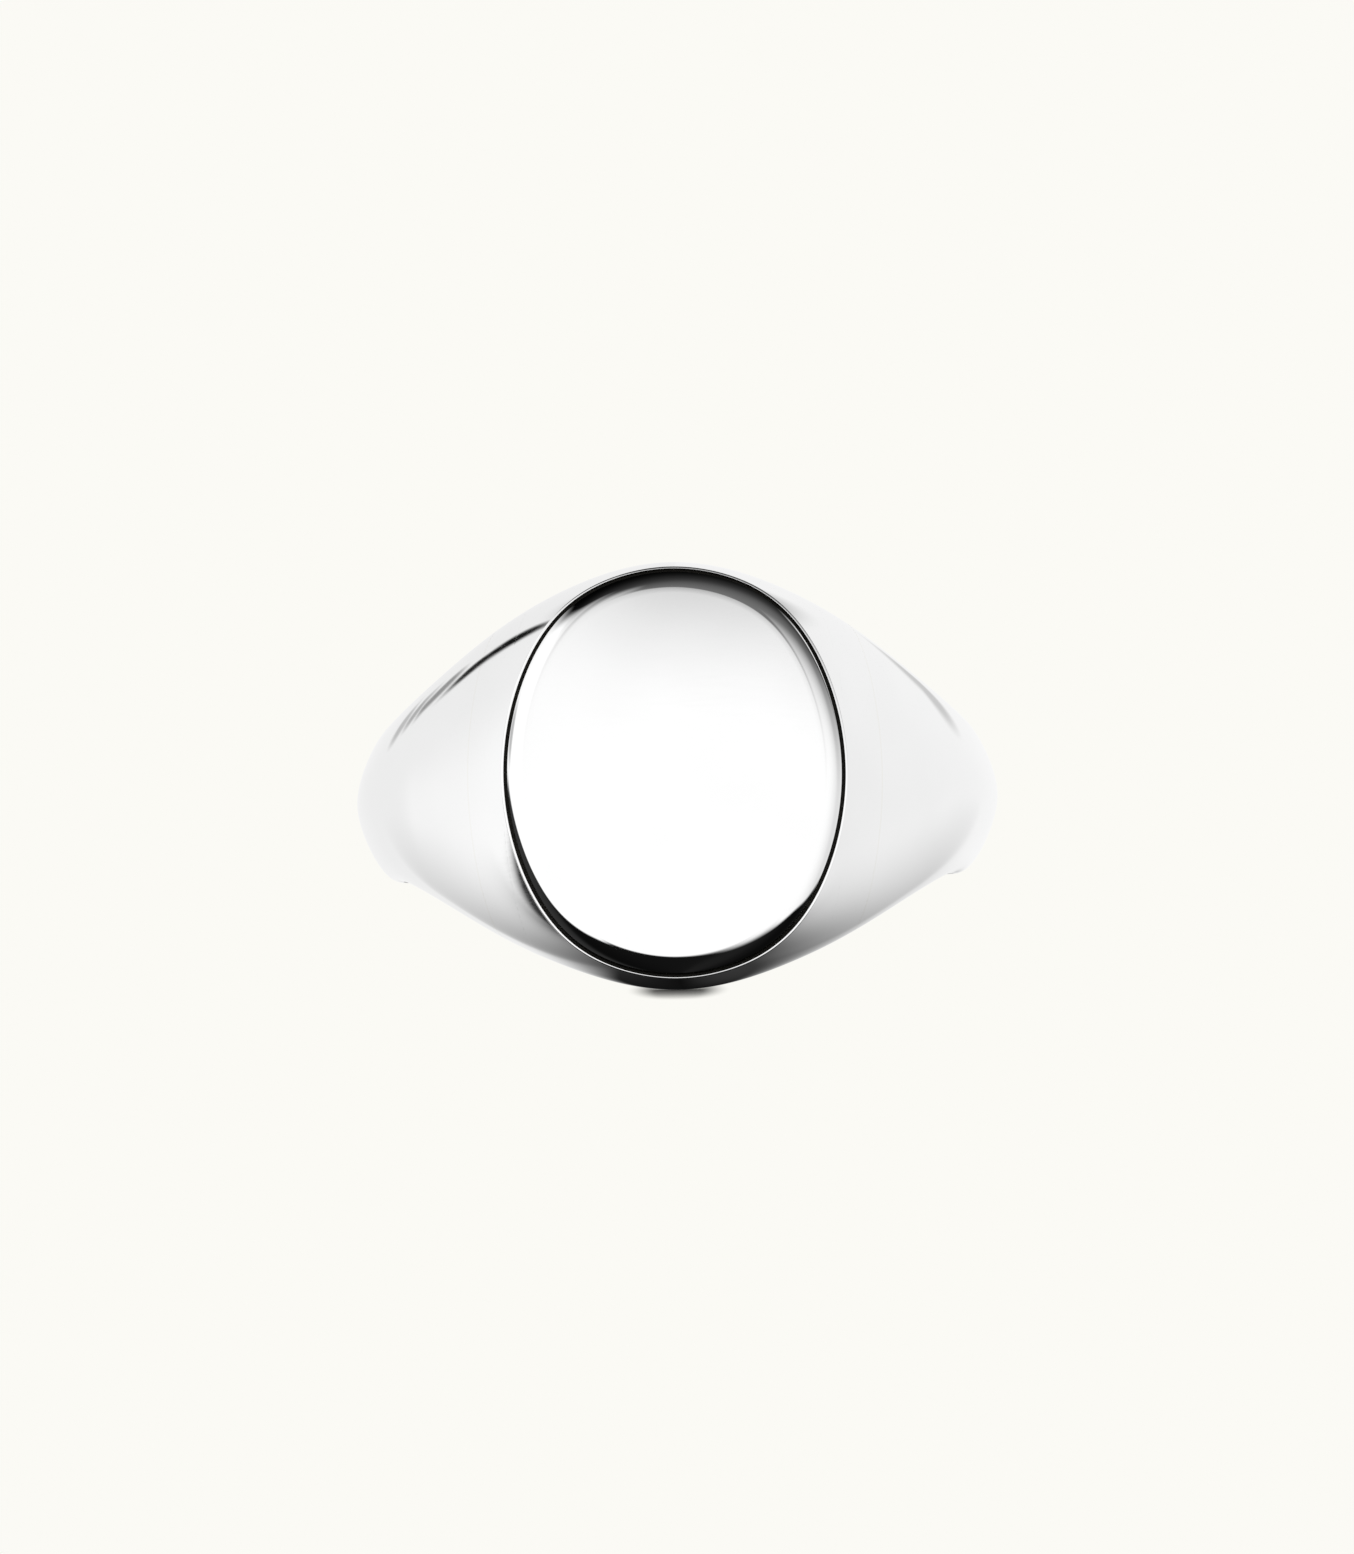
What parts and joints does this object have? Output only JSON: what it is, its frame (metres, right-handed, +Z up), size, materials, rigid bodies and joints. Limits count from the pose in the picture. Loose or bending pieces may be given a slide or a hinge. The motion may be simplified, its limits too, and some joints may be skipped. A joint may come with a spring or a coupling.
{
  "type": "signet ring",
  "caption": "Plain oval signet ring in polished silver: a blank oval face plate seated in a broad head, with shoulders that taper into a slim rounded shank.",
  "frame": {"origin": "middle of the finger hole, on its axis and halfway along it", "axes": "+Z up from the table that the ring lies on, -Y towards the front, where the face looks, +X to the right of someone who looks at the face; the ring is tipped back, so the finger hole's axis leans 15.8 degrees from +Z towards +Y"},
  "size_m": [0.021, 0.0218, 0.0132],
  "materials": {
    "face_plate_silver": "polished",
    "head_silver": "polished",
    "shoulder_silver": "polished",
    "shank_silver": "polished",
    "hard_solder": "polished"
  },
  "bodies": {
    "root": {"face_plate": "face_plate_silver", "face_solder": "hard_solder", "head": "head_silver", "left_head_solder": "hard_solder", "left_shoulder": "shoulder_silver", "left_shank_solder": "hard_solder", "right_head_solder": "hard_solder", "right_shoulder": "shoulder_silver", "right_shank_solder": "hard_solder", "shank": "shank_silver"}
  },
  "joints": []
}
